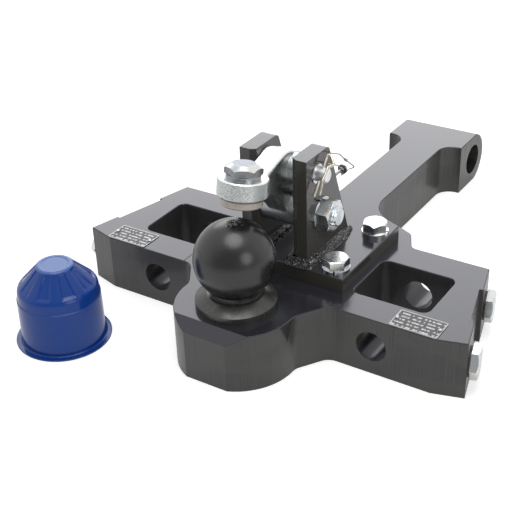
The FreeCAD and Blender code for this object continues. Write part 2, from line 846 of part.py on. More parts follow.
def make_spring_clip():
    """The spring clip: one leg through the pin, the other bent round the pin's end."""
    outer_x = lock_pin_end_x + clip_end_gap + clip_wire_diameter / 2
    bottom = -clip_leg_below
    points = [
        clip_point(clip_inner_x, bottom, -clip_hole_offset),
        clip_point(clip_inner_x, clip_head_rise - 4, -clip_hole_offset),
        clip_point(clip_inner_x + clip_head_reach, clip_head_rise, -clip_hole_offset),
        clip_point(outer_x + 1, clip_shoulder_rise, -clip_hole_offset),
        clip_point(outer_x, clip_shoulder_rise / 2, 2 - clip_outer_leg_offset),
        clip_point(outer_x, bottom / 3, -clip_outer_leg_offset),
        clip_point(outer_x, bottom + 2, 3 - clip_outer_leg_offset),
    ]
    return bent_wire(points, clip_wire_diameter, clip_bend_radius)


def lanyard_screw_foot():
    """Where the lanyard screw leaves the slanted rear edge of the upright."""
    run = upright_foot_rear_y - upright_top_rear_y
    share = (upright_top_z - lanyard_screw_z) / (upright_top_z - plate_top_z)
    return FreeCAD.Vector(lanyard_screw_x, upright_top_rear_y + run * share, lanyard_screw_z)


def make_lanyard_screw():
    """The round-headed screw in the right upright's rear edge."""
    foot = lanyard_screw_foot()
    head_y = foot.y + lanyard_screw_reach
    shank = Part.makeCylinder(lanyard_screw_diameter / 2, lanyard_screw_depth + lanyard_screw_reach,
                              foot - Y_AXIS * lanyard_screw_depth, Y_AXIS)
    head = Part.makeCylinder(lanyard_head_diameter / 2, lanyard_head_thickness,
                             FreeCAD.Vector(foot.x, head_y - lanyard_head_thickness / 2, foot.z), Y_AXIS)
    return shank.fuse(head).removeSplitter()


def keeper_loop_strands():
    """The wire loop's two strands, which join in a turn round the screw under its head."""
    foot = lanyard_screw_foot()
    head = foot + Y_AXIS * lanyard_screw_reach
    turn_radius = (lanyard_screw_diameter + lanyard_wire_diameter) / 2 + 0.05
    turn = head - Y_AXIS * (lanyard_head_thickness / 2 + lanyard_wire_diameter + 0.15)
    below_head = lanyard_head_diameter / 2 + lanyard_wire_diameter
    behind = clip_wire_diameter / 2 + lanyard_wire_diameter / 2 + lanyard_gap - clip_hole_offset
    start = clip_point(clip_inner_x + 1, clip_head_rise + 1, behind)
    long_strand = [
        start,
        FreeCAD.Vector(loop_top_x, start.y + loop_top_run, start.z - loop_top_drop),
        FreeCAD.Vector(loop_middle_x, start.y + loop_middle_run, start.z - loop_middle_drop),
        FreeCAD.Vector(foot.x + 0.5, head.y + loop_end_run, head.z - loop_end_drop),
        FreeCAD.Vector(foot.x - 2, head.y + loop_return_run, head.z - loop_return_drop),
        turn - Z_AXIS * below_head,
        turn - Z_AXIS * turn_radius,
    ]
    short_strand = [
        turn + X_AXIS * turn_radius,
        FreeCAD.Vector(loop_middle_x + 0.5, turn.y - 20, turn.z + 15),
        clip_point(clip_inner_x + 1.5, clip_shoulder_rise, behind + 1),
    ]
    return long_strand, short_strand, turn, turn_radius


def make_keeper_loop():
    """The wire loop that keeps the clip with the hitch, with its crimped sleeve."""
    long_strand, short_strand, turn, turn_radius = keeper_loop_strands()
    wire = Part.makeTorus(turn_radius, lanyard_wire_diameter / 2, turn, Y_AXIS)
    for strand in (long_strand, short_strand):
        wire = wire.fuse(bent_wire(strand, lanyard_wire_diameter, lanyard_bend_radius))
    direction = (long_strand[3] - long_strand[2]).normalize()
    start = long_strand[2] + direction * lanyard_bend_radius
    return wire.fuse(Part.makeCylinder(crimp_diameter / 2, crimp_length, start, direction))


def make_end_bolts():
    """The two bolts in the right ear's end."""
    bolts = []
    for index, along in enumerate(end_bolt_places()):
        bolt = plain_bolt(end_bolt_diameter, end_bolt_flats, end_bolt_head_height,
                          end_washer_thickness + end_bolt_reach, 30.0 + 12 * index)
        bolt.translate(Z_AXIS * end_washer_thickness)
        bolts.append(onto_ear_end(bolt, along, half_thickness))
    return Part.makeCompound(bolts)


def make_end_washers():
    """The washers under the right ear end's bolts."""
    washers = []
    for along in end_bolt_places():
        washer = Part.makeCylinder(end_washer_diameter / 2, end_washer_thickness)
        washer = washer.cut(Part.makeCylinder(end_bolt_diameter / 2 + bolt_hole_clearance, end_washer_thickness))
        washers.append(onto_ear_end(washer, along, half_thickness))
    return Part.makeCompound(washers)


def rivet_places():
    """The x of the four rivets."""
    inner = rating_plate_inner_x + rivet_inset
    outer = rating_plate_inner_x + rating_plate_length - rivet_inset
    return [-outer, -inner, inner, outer]


def make_rating_plate():
    """The bare plate on the right ear."""
    outer_x = rating_plate_inner_x + rating_plate_length
    rear_y = rating_plate_front_y + rating_plate_depth
    plate = outline([
        (rating_plate_inner_x, rating_plate_front_y, rating_plate_corner),
        (outer_x, rating_plate_front_y, rating_plate_corner),
        (outer_x, rear_y, rating_plate_corner),
        (rating_plate_inner_x, rear_y, rating_plate_corner),
    ], in_plan).extrude(Z_AXIS * rating_plate_thickness)
    plate.translate(Z_AXIS * body_thickness)
    for x in rivet_places():
        plate = plate.cut(rod_z(rivet_diameter, x, rating_plate_front_y + rating_plate_depth / 2,
                                body_thickness, body_thickness + rating_plate_thickness))
    return plate


def make_rivets():
    """The four rivets of the rating plates."""
    rivets = []
    head_foot = body_thickness + rating_plate_thickness
    for x in rivet_places():
        rivet = turned([
            (0, body_thickness - rivet_depth, 0),
            (rivet_diameter / 2, body_thickness - rivet_depth, 0),
            (rivet_diameter / 2, head_foot, 0),
            (rivet_head_diameter / 2, head_foot, 0),
            (rivet_head_diameter / 2, head_foot + rivet_head_height, 0.7),
            (0, head_foot + rivet_head_height, 0),
        ])
        rivet.translate(FreeCAD.Vector(x, rating_plate_front_y + rating_plate_depth / 2, 0))
        rivets.append(rivet)
    return Part.makeCompound(rivets)


def cap_corners(inset):
    """The cap's half section, from its foot up and over, at a distance inside its outer face."""
    return [
        (cap_foot_diameter / 2 - inset, cap_step_height),
        (cap_shoulder_diameter / 2 - inset, cap_shoulder_height),
        (cap_top_diameter / 2 - inset * 0.5, cap_height - inset),
    ]


def make_cap():
    """The ball cap: rim, straight skirt, step, ribbed cone and flat crown."""
    foot = cap_foot_diameter / 2
    step = cap_step_diameter / 2
    shoulder = cap_shoulder_diameter / 2
    crown = cap_top_diameter / 2
    outer = turned([
        (0, 0, 0),
        (cap_rim_diameter / 2, 0, 0),
        (cap_rim_diameter / 2, cap_rim_thickness, 0),
        (foot + 1.5, cap_rim_thickness, 0),
        (foot, cap_rim_thickness + 1.5, 0),
        (step, cap_step_height, 0),
        (step - cap_step_width, cap_step_height + 0.4, 0),
        (shoulder, cap_shoulder_height, 5.0),
        (crown, cap_height, 1.5),
        (0, cap_height, 0),
    ])
    inner = turned([
        (0, 0, 0),
        (foot - cap_wall, 0, 0),
        (step - cap_step_width - cap_wall, cap_step_height, 0),
        (shoulder - cap_wall, cap_shoulder_height, 4.0),
        (crown - 1.0, cap_height - cap_wall, 0),
        (0, cap_height - cap_wall, 0),
    ])
    rib = outline([
        (shoulder - 2.5, cap_shoulder_height + 1.6, 0),
        (shoulder - 0.6, cap_shoulder_height + 2.2, 0),
        (crown + cap_rib_height, cap_height - 0.8, 0),
        (crown - 1.5, cap_height - 0.8, 0),
        (crown - 1.5, cap_height - 2.0, 0),
    ], in_section).revolve(ORIGIN, Z_AXIS, cap_rib_angle)
    cap = outer
    for index in range(cap_rib_count):
        placed = rib.copy()
        placed.rotate(ORIGIN, Z_AXIS, 360 / cap_rib_count * index)
        cap = cap.fuse(placed)
    cap = cap.removeSplitter().cut(inner)
    cap.translate(FreeCAD.Vector(cap_x, cap_y, 0))
    return cap


def make_parts():
    """Every node of the hitch by name."""
    upright = make_upright()
    screw_hole = Part.makeCylinder(lanyard_screw_diameter / 2, lanyard_screw_depth + lanyard_screw_reach,
                                   lanyard_screw_foot() - Y_AXIS * lanyard_screw_depth, Y_AXIS)
    weld = make_weld()
    end_bolts = make_end_bolts()
    end_washers = make_end_washers()
    rating_plate = make_rating_plate()
    return {
        "hitch_body": make_hitch_body(),
        "tow_ball": make_ball(),
        "bracket_plate": make_bracket_plate(),
        "upright_left": mirrored(upright),
        "upright_right": upright.cut(screw_hole),
        "weld_left": mirrored(weld),
        "weld_right": weld,
        "plate_bolts": make_plate_bolts(),
        "plate_bolt_washers": make_plate_washers(),
        "pivot_bolt": make_pivot_bolt(),
        "pivot_washer": make_pivot_washer(),
        "pivot_nut": make_pivot_nut(),
        "pivot_bush": make_pivot_bush(),
        "hold_down_arm": make_hold_down_arm(),
        "hold_down_bolt": make_clamp_bolt(),
        "hold_down_washer": make_clamp_washer(),
        "hold_down_pad": make_pad(),
        "lock_pin": make_lock_pin(),
        "lock_pin_guide_ring": make_guide_ring(),
        "spring_clip": make_spring_clip(),
        "lanyard_screw": make_lanyard_screw(),
        "keeper_loop": make_keeper_loop(),
        "end_bolts_left": mirrored(end_bolts),
        "end_bolts_right": end_bolts,
        "end_washers_left": mirrored(end_washers),
        "end_washers_right": end_washers,
        "rating_plate_left": mirrored(rating_plate),
        "rating_plate_right": rating_plate,
        "rating_plate_rivets": make_rivets(),
        "ball_cap": make_cap(),
    }


def main():
    os.makedirs("parts", exist_ok=True)
    for name, shape in make_parts().items():
        for solid in shape.Solids:
            if not solid.isValid():
                raise ValueError(name + " isn't a valid solid")
        shape.exportStep("parts/" + name + ".step")
        print(name, len(shape.Solids), round(shape.Volume / 1000, 2), "cm3")


main()
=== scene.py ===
"""Dresses the tractor ball hitch: the finishes, the weld beads, the ball cap and the studio."""

import json
import math

import bmesh
import bpy
from mathutils import Matrix, Vector, noise


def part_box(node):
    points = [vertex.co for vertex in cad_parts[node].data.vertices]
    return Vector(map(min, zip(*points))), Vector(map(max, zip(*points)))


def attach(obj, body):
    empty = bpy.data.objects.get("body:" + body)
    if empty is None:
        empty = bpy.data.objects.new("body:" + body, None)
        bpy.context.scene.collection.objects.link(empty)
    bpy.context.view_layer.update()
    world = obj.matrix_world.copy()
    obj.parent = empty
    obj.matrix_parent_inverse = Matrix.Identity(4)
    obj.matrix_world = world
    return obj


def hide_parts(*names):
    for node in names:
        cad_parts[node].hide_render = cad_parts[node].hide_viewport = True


bl_info = {
    "name": "Tractor Ball Hitch",
    "version": (1, 0, 0),
    "blender": (4, 5, 0),
    "location": "View3D > Sidebar > Ball Hitch",
    "description": "Finishes of a tractor ball hitch, its weld beads, its cap and the studio",
    "category": "Object",
}

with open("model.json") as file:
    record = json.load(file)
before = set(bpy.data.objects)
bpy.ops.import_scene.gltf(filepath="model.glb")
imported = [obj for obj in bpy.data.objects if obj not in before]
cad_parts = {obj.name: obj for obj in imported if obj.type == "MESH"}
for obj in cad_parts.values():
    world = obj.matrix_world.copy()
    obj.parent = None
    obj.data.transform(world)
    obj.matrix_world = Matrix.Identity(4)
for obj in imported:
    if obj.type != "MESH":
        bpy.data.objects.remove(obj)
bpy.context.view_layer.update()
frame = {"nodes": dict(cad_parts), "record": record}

# Heights between which a finish changes, in metres
RUNS_RISE = (0.018, 0.056)
COLLAR_TOP = (0.0765, 0.079)
BALL_CROWN = (0.1492, 0.1502)
CAP_LIT_CROWN = (0.0835, 0.0855)
CAP_FOOT = (0.0, 0.012)

# The flame's gouge by the nose: the height of its foot, its middle along y and its start along x
GOUGE_FOOT = 0.039
GOUGE_MIDDLE = -0.0065
GOUGE_SIDE = (0.055, 0.056)

# The joint line at the ears: its front end, and how far it keeps from the window's opening
JOINT_FRONT = 0.02
JOINT_INSET = 0.0017
JOINT_GAP = 0.0025


# Tools for shaders and meshes

class Flow:
    """A node's output, with arithmetic that adds Math nodes."""

    def __init__(self, bench, socket):
        self.bench = bench
        self.socket = socket

    def maths(self, operation, *values):
        """The result of one Math node."""
        return self.bench.add("ShaderNodeMath", {"operation": operation}, dict(enumerate(values)))

    def __add__(self, other):
        return self.maths("ADD", self, other)

    def __radd__(self, other):
        return self.maths("ADD", other, self)

    def __sub__(self, other):
        return self.maths("SUBTRACT", self, other)

    def __rsub__(self, other):
        return self.maths("SUBTRACT", other, self)

    def __mul__(self, other):
        return self.maths("MULTIPLY", self, other)

    def __rmul__(self, other):
        return self.maths("MULTIPLY", other, self)

    def __truediv__(self, other):
        return self.maths("DIVIDE", self, other)

    def __rtruediv__(self, other):
        return self.maths("DIVIDE", other, self)

    def size(self):
        """The value without its sign."""
        return self.maths("ABSOLUTE", self)

    def fraction(self):
        """What stands after the whole number."""
        return self.maths("FRACT", self)

    def whole(self):
        """The whole number below the value."""
        return self.maths("FLOOR", self)

    def most(self, other):
        """The larger of two values."""
        return self.maths("MAXIMUM", self, other)

    def least(self, other):
        """The smaller of two values."""
        return self.maths("MINIMUM", self, other)

    def between(self, low, high):
        """0 below low, 1 above high and a smooth ramp between them."""
        return self.bench.add("ShaderNodeMapRange", {"interpolation_type": "SMOOTHSTEP"},
                              {"Value": self, "From Min": low, "From Max": high})

    def within(self, low, high, soft):
        """1 from low to high and 0 outside, with ramps on the inside of both limits."""
        return self.between(low, low + soft) * (1 - self.between(high - soft, high))


class Bench:
    """The node tree of one material or of the room."""

    def __init__(self, owner):
        owner.use_nodes = True
        self.owner = owner
        self.tree = owner.node_tree
        self.tree.nodes.clear()

    def add(self, kind, settings=None, sockets=None, output=0):
        """Adds a node, sets it up, feeds its sockets and gives back one output."""
        node = self.tree.nodes.new(kind)
        for name, value in (settings or {}).items():
            setattr(node, name, value)
        for name, value in (sockets or {}).items():
            self.feed(node.inputs[name], value)
        return Flow(self, node.outputs[output]) if node.outputs else None

    def feed(self, socket, value):
        """Links an output to a socket, or sets the socket's own value."""
        if isinstance(value, Flow):
            self.tree.links.new(value.socket, socket)
        elif socket.type == "RGBA" and len(value) == 3:
            socket.default_value = (*value, 1)
        else:
            socket.default_value = value

    def place(self):
        """Position in the hitch's own frame, in metres."""
        return self.add("ShaderNodeTexCoord", output="Object")

    def normal(self):
        """The surface's normal in the hitch's own frame."""
        return self.add("ShaderNodeTexCoord", output="Normal")

    def apart(self, vector):
        """The x, y and z of a vector."""
        first = self.add("ShaderNodeSeparateXYZ", {}, {"Vector": vector})
        return [Flow(self, output) for output in first.socket.node.outputs]

    def speckle(self, vector, per_metre, detail=3.0, roughness=0.55):
        """A cloudy noise from 0 to 1."""
        return self.add("ShaderNodeTexNoise", {},
                        {"Vector": vector, "Scale": per_metre, "Detail": detail,
                         "Roughness": roughness})

    def streaks(self, vector, per_metre, detail=3.0, roughness=0.55):
        """A cloudy noise with its own scale along each axis."""
        stretched = self.add("ShaderNodeVectorMath", {"operation": "MULTIPLY"},
                             {0: vector, 1: per_metre})
        return self.speckle(stretched, 1.0, detail, roughness)

    def cells(self, vector, per_metre):
        """Distance to the nearest of many scattered points."""
        return self.add("ShaderNodeTexVoronoi", {}, {"Vector": vector, "Scale": per_metre})

    def blend(self, share, first, second):
        """The first colour where share is 0 and the second where it is 1."""
        return self.add("ShaderNodeMix", {"data_type": "RGBA"},
                        {"Factor": share, "A": first, "B": second}, "Result")

    def layers(self, base, *coats):
        """A base colour under coats, each a share and a colour, laid on one after the other."""
        for share, colour in coats:
            base = self.blend(share, base, colour)
        return base

    def bumps(self, height, distance, strength, normal=None):
        """A normal that is pushed about by a height in shares of a distance."""
        sockets = {"Height": height, "Distance": distance, "Strength": strength}
        if normal is not None:
            sockets["Normal"] = normal
        return self.add("ShaderNodeBump", {}, sockets)

    def soft_edges(self, radius):
        """A normal that turns smoothly over the edges."""
        return self.add("ShaderNodeBevel", {"samples": 6}, {"Radius": radius})

    def edge_share(self, rounded):
        """How near a place is to an edge, from 0 on the flat."""
        flat = self.add("ShaderNodeNewGeometry", output="Normal")
        agree = self.add("ShaderNodeVectorMath", {"operation": "DOT_PRODUCT"},
                         {0: rounded, 1: flat}, "Value")
        return 1 - agree

    def mixed(self, share, first, second):
        """The first shader where share is 0 and the second where it is 1."""
        return self.add("ShaderNodeMixShader", {}, {0: share, 1: first, 2: second})

    def finish(self, **sockets):
        """Closes the tree with the surface shader and gives back the material."""
        named = {name.replace("_", " "): value for name, value in sockets.items()}
        shader = self.add("ShaderNodeBsdfPrincipled", {}, named)
        self.add("ShaderNodeOutputMaterial", {}, {"Surface": shader})
        return self.owner


def new_finish(name):
    """The empty node tree of a new material."""
    return Bench(bpy.data.materials.new(name))


def wear(nodes, material):
    """Gives CAD nodes one material."""
    for name in nodes:
        node = frame["nodes"][name]
        node.data.materials.clear()
        node.data.materials.append(material)
        for polygon in node.data.polygons:
            polygon.material_index = 0


def new_piece(name, points, faces, material, body, smooth=False):
    """A mesh piece in the hitch's frame that rides on a body; points in one place are joined."""
    mesh = bpy.data.meshes.new(name)
    mesh.from_pydata(points, [], faces)
    work = bmesh.new()
    work.from_mesh(mesh)
    bmesh.ops.remove_doubles(work, verts=work.verts, dist=1e-6)
    work.to_mesh(mesh)
    work.free()
    mesh.validate()
    for polygon in mesh.polygons:
        polygon.use_smooth = smooth
    piece = bpy.data.objects.new(name, mesh)
    bpy.context.scene.collection.objects.link(piece)
    mesh.materials.append(material)
    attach(piece, body)
    return piece


def smooth_step(value):
    """0 below 0, 1 above 1 and a smooth rise between."""
    value = min(max(value, 0.0), 1.0)
    return value * value * (3 - 2 * value)


# Sizes and colours

def colour_setting(name, description, default):
    """A colour for the panel."""
    return bpy.props.FloatVectorProperty(name=name, description=description, subtype="COLOR",
                                         size=3, default=default)


def share_setting(name, description, default):
    """A share from 0 to 1 for the panel."""
    return bpy.props.FloatProperty(name=name, description=description, subtype="FACTOR",
                                   default=default, min=0, max=1)


def length_setting(name, description, default, least=0.0001):
    """A length in metres for the panel."""
    return bpy.props.FloatProperty(name=name, description=description, subtype="DISTANCE",
                                   unit="LENGTH", default=default, min=least, precision=4)


def angle_setting(name, description, degrees):
    """An angle for the panel."""
    return bpy.props.FloatProperty(name=name, description=description, subtype="ANGLE",
                                   default=math.radians(degrees))


def power_setting(name, description, default):
    """A lamp's power in watts for the panel."""
    return bpy.props.FloatProperty(name=name, description=description, unit="POWER",
                                   default=default, min=0)


class PaintSettings(bpy.types.PropertyGroup):
    """Graphite paint over flame-cut steel."""
    colour: colour_setting("Paint", "Colour of the graphite paint", (0.026, 0.0261, 0.0315))
    cut_face: colour_setting("Cut face", "Colour of the paint over cut faces",
                             (0.057, 0.0547, 0.0455))
    roughness: share_setting("Roughness", "Roughness of the flat faces", 0.15)
    drag_line: length_setting("Drag line", "Width of a flame-cut drag line", 0.0016, 0.0002)
    edge_radius: length_setting("Edge", "Radius that the paint gives the edges", 0.0009)


class MetalSettings(bpy.types.PropertyGroup):
    """Plated and bare metals."""
    zinc: colour_setting("Zinc", "Colour of the zinc plating", (0.7, 0.74, 0.775))
    casting: colour_setting("Casting", "Colour of the plated casting", (0.93, 0.95, 0.945))
    yellow: colour_setting("Yellow zinc", "Colour of the passivated spring wire",
                           (0.76, 0.72, 0.64))
    bronze: colour_setting("Pad", "Colour of the wear pad", (0.53, 0.47, 0.42))
    aluminium: colour_setting("Aluminium", "Colour of the plates' bare metal", (0.52, 0.52, 0.52))
    etched: colour_setting("Etched", "Colour of the plates' etched ground", (0.075, 0.075, 0.08))
    field_pitch: length_setting("Rows", "Distance between the plates' rows of fields", 0.0052,
                                0.001)
    black: colour_setting("Ball", "Colour of the ball", (0.008, 0.0084, 0.009))
    grain: length_setting("Casting grain", "Size of the casting's grain", 0.0012, 0.0002)


class CapSettings(bpy.types.PropertyGroup):
    """The ball cap's form and plastic."""
    colour: colour_setting("Blue", "Colour of the moulded plastic", (0.003, 0.044, 0.26))
    roughness: share_setting("Roughness", "Roughness of the moulded plastic", 0.12)
    wall: length_setting("Wall", "Thickness of the wall", 0.0024)
    rim: length_setting("Rim", "Thickness of the rim", 0.0016)
    foot_radius: length_setting("Foot", "Radius of the skirt above the rim", 0.0434)
    step_height: length_setting("Step height", "Height of the small step in the skirt", 0.05)
    step_radius: length_setting("Step", "Radius of the skirt below the step", 0.0427)
    step_width: length_setting("Step width", "How far the skirt goes in at the step", 0.0007)
    shoulder_height: length_setting("Shoulder height", "Height of the cone's foot", 0.0615)
    shoulder_radius: length_setting("Shoulder", "Radius of the cone's foot", 0.041)
    crown_radius: length_setting("Crown", "Radius of the flat crown", 0.0177)
    panels: bpy.props.IntProperty(name="Panels", description="Number of sunk panels",
                                  default=9, min=3)
    panel_angle: angle_setting("Panel width", "Width of a sunk panel", 23)
    panel_turn: angle_setting("Panel turn", "Where the first panel's middle stands", -69.5)
    panel_depth: length_setting("Panel depth", "How deep the panels are sunk", 0.0017)
    panel_slope: length_setting("Panel slope", "Width of the slope at a panel's sides", 0.0016)


class WeldSettings(bpy.types.PropertyGroup):
    """The weld beads at the feet of the uprights."""
    leg: length_setting("Leg", "Width of the bead on the plate", 0.0082, 0.001)
    throat: length_setting("Rise", "Height of the bead on the upright", 0.0062, 0.001)
    ripple: length_setting("Ripple", "Distance between the ripples", 0.0029, 0.0005)
    crest: length_setting("Crest", "Height of the ripples", 0.0011, 0)
    grit: length_setting("Grit", "Height of the small lumps on the ripples", 0.0003, 0)
    seed: bpy.props.IntProperty(name="Seed", description="Start of the random lumps", default=7)


class StageSettings(bpy.types.PropertyGroup):
    """Floor, lamps, room and camera."""
    floor: colour_setting("Floor", "Colour of the floor", (0.8, 0.8, 0.8))
    key_power: power_setting("Back lamp", "Power of the large lamp behind the hitch", 19)
    top_power: power_setting("Top lamp", "Power of the lamp overhead", 19)
    side_power: power_setting("Side lamp", "Power of the lamp at the right", 7)
    world: bpy.props.FloatProperty(name="World", description="Strength of the room's light",
                                   default=0.42, min=0)
    dim_side: share_setting("Dim side", "How much darker the room is behind the camera", 0.62)
    lens: bpy.props.FloatProperty(name="Lens", description="Focal length",
                                  subtype="DISTANCE_CAMERA", default=75.85, min=10)
    place: bpy.props.FloatVectorProperty(name="Camera", description="Place of the camera",
                                         subtype="TRANSLATION", unit="LENGTH", size=3,
                                         default=(0.50771, -0.71998, 0.63403))
    azimuth: angle_setting("Azimuth", "Turn of the camera about the vertical", 33.90)
    elevation: angle_setting("Elevation", "Height of the camera as an angle", 30.54)
    roll: angle_setting("Roll", "Turn of the camera about its own line of sight", -2.20)


# Finishes

def grey(level):
    """A neutral colour."""
    return (level, level, level)


def opening_box(name):
    """The two corners of an opening that the record names."""
    openings = frame["record"]["physics"]["openings"]
    return next(item for item in openings if item["name"] == name)["box_m"]


def bore_share(x, z):
    """1 on the walls of the ears' bores and 0 elsewhere."""
    mounts = frame["record"]["mounts"]
    bore = next(item for item in mounts if item["name"] == "ear_bore_right")
    margin, fade = 0.0004, 1.02
    reach = bore["dims"]["r_mm"] / 1000 + margin
    across = x.size() - bore["pos_m"][0]
    above = z - bore["pos_m"][2]
    return 1 - (across * across + above * above).between(reach * reach, reach * reach * fade)


def window_share(x, y):
    """1 within the ears' windows and at their walls, where shade is painted, and 0 elsewhere."""
    low, high = opening_box("window_right")
    margin, soft = 0.006, 0.001
    inside = x.size().within(low[0] - margin, high[0] + margin, soft)
    return inside * y.within(low[1] - margin, high[1] + margin, soft)


def joint_line(x, y):
    """1 on the thin line that parts each ear from the nose, from the front to the window."""
    corner = opening_box("window_right")[0]
    middle = corner[0] - JOINT_INSET
    half_width, soft_side, soft_end = 0.0008, 0.0003, 0.001
    line = x.size().within(middle - half_width, middle + half_width, soft_side)
    return line * y.within(JOINT_FRONT, corner[1] - JOINT_GAP + soft_end, soft_end)


def gouge_share(bench, place, x, y, z):
    """1 in the dark run that the flame left on the right of the nose, narrower further down."""
    spread, ragged = 0.45, 0.006
    noise_share = bench.streaks(place, (700, 700, 70), 3.0, 0.7)
    half_width = (z - GOUGE_FOOT) * spread + (noise_share * ragged - ragged / 2)
    depth_inside = half_width - (y - GOUGE_MIDDLE).size()
    return depth_inside.between(0.0, 0.0006) * x.between(*GOUGE_SIDE)


def painted_finish(name, settings, drag_share):
    """Glossy graphite paint; drag_share is how much of the flame's lines the cut faces show."""
    bench = new_finish(name)
    place = bench.place()
    x, y, z = bench.apart(place)
    cut = 1 - bench.apart(bench.normal())[2].size().between(0.25, 0.6)
    dragged = cut * drag_share
    per_metre = 1 / settings.drag_line
    drag = bench.streaks(place, (per_metre, per_metre, per_metre * 0.02), 3.0, 0.7)
    lines = drag.between(0.36, 0.64)
    broad = bench.streaks(place, (70, 70, 7), 2.0).between(0.35, 0.65)
    patch = bench.streaks(place, (11, 11, 30), 2.0).between(0.46, 0.62) * 0.75 + 0.25
    runs = bench.streaks(place, (520, 520, 22), 3.0, 0.6).between(0.6, 0.7)
    runs = runs * z.between(*RUNS_RISE)
    peel = bench.speckle(place, 420, 2.0)
    cloud = bench.speckle(place, 26, 3.0)
    specks = 1 - bench.cells(place, 60).between(0.02, 0.045)
    rounded = bench.soft_edges(settings.edge_radius)
    edge = bench.edge_share(rounded).between(0.02, 0.2)
    # Worn bare edges, lightened in patches, that also stand in as a painted highlight along the
    # edges.
    rubbed_and_highlit = edge * bench.speckle(place, 210, 4.0).between(0.45, 0.75)
    grooves = (1 - lines * (0.5 + broad * 0.5)) * dragged * patch
    # Painted shade: the walls inside the ears' windows are darkened, and made rougher.
    walls = window_share(x, y) * cut * drag_share
    bored = bore_share(x, z) * drag_share
    line = joint_line(x, y) * (1 - cut) * drag_share
    gouge = gouge_share(bench, place, x, y, z) * dragged
    burnt = line.most(gouge)
    flat_colour = bench.blend(cloud * 0.35, settings.colour, (0.033, 0.0332, 0.0385))
    cut_colour = bench.layers(settings.cut_face,
                              (cloud * 0.3, (0.051, 0.049, 0.041)),
                              (grooves * 0.7, (0.026, 0.025, 0.022)),
                              (runs * dragged * 0.8, grey(0.01)))
    colour = bench.layers(flat_colour,
                          (cut, cut_colour),
                          (specks * 0.5 * (1 - cut), (0.01, 0.01, 0.011)),
                          (rubbed_and_highlit * 0.6, (0.16, 0.16, 0.165)),
                          (walls * 0.7, grey(0.014)),
                          (burnt * 0.85, grey(0.005)))
    roughness = settings.roughness + cloud * 0.06 + dragged * (0.16 + lines * 0.14) + rubbed_and_highlit * 0.1
    roughness = roughness + bored * 0.12 + burnt * 0.45 + walls * 0.3
    height = peel * 0.2 + dragged * (patch * (lines * 0.5 + drag) + broad * 0.8 - runs * 0.8)
    height = height - line * 9 - gouge * 2
    normal = bench.bumps(height, 0.0001, 0.8, rounded)
    return bench.finish(Base_Color=colour, Roughness=roughness, Normal=normal, Coat_Weight=0.3,
                        Coat_Roughness=0.08, IOR=1.52, Specular_Tint=(0.86, 0.87, 1.0))


def weld_finish(settings):
    """The same paint over the beads, clouded dark, with small bright specks that are painted
    glints.
    """
    bench = new_finish("graphite_paint_on_weld")
    place = bench.place()
    lumps = bench.speckle(place, 640, 3.0)
    # Painted glints: small bright specks that stand in for light caught on the ripples.
    painted_glints = 1 - bench.cells(place, 430).between(0.2, 0.3)
    painted_glints = painted_glints * bench.speckle(place, 150, 2.0).between(0.4, 0.5)
    colour = bench.layers((0.012, 0.012, 0.013),
                          (lumps * 0.4, settings.colour),
                          (painted_glints * 0.85, (0.55, 0.55, 0.56)))
    roughness = 0.12 + lumps * 0.14
    normal = bench.bumps(lumps + painted_glints * 0.6, 0.0004, 0.9)
    return bench.finish(Base_Color=colour, Roughness=roughness, Normal=normal, Coat_Weight=0.5,
                        Coat_Roughness=0.06)


def ball_finish(settings):
    """Satin black turned steel, greasy, a little scuffed, and pitted round its drilled top."""
    bench = new_finish("ball_black")
    place = bench.place()
    z = bench.apart(place)[2]
    rings = bench.streaks(place, (4, 4, 2600), 2.0)
    smear = bench.speckle(place, 34, 4.0, 0.62)
    scuff = bench.streaks(place, (900, 900, 160), 3.0).between(0.62, 0.74)
    grit = 1 - bench.cells(place, 210).between(0.04, 0.1)
    crown = z.between(*BALL_CROWN)
    chips = crown * (1 - bench.cells(place, 520).between(0.18, 0.42))
    below = 1 - z.between(*COLLAR_TOP)
    collar = below * bench.speckle(place, 120, 4.0, 0.65).between(0.5, 0.68)
    rounded = bench.soft_edges(0.0007)
    # Painted highlight: the ball is made lighter along its edges, away from the crown.
    edge = bench.edge_share(rounded).between(0.03, 0.25)
    colour = bench.layers(settings.black,
                          (smear * 0.5, (0.013, 0.0135, 0.014)),
                          (below * 0.8, (0.036, 0.035, 0.031)),
                          (scuff * 0.2, grey(0.06)),
                          (collar * 0.4, (0.1, 0.1, 0.095)),
                          (grit * 0.4, grey(0.12)),
                          (crown * 0.8, grey(0.004)),
                          (chips * 0.8, (0.32, 0.33, 0.34)),
                          (edge * (1 - crown) * 0.4, grey(0.16)))
    roughness = 0.2 + smear * 0.13 - collar * 0.05
    height = rings * 0.4 + smear * 0.7 + grit * 0.3 + chips * 3.0
    normal = bench.bumps(height, 0.00005, 0.6, rounded)
    return bench.finish(Base_Color=colour, Roughness=roughness, Normal=normal, IOR=1.62)


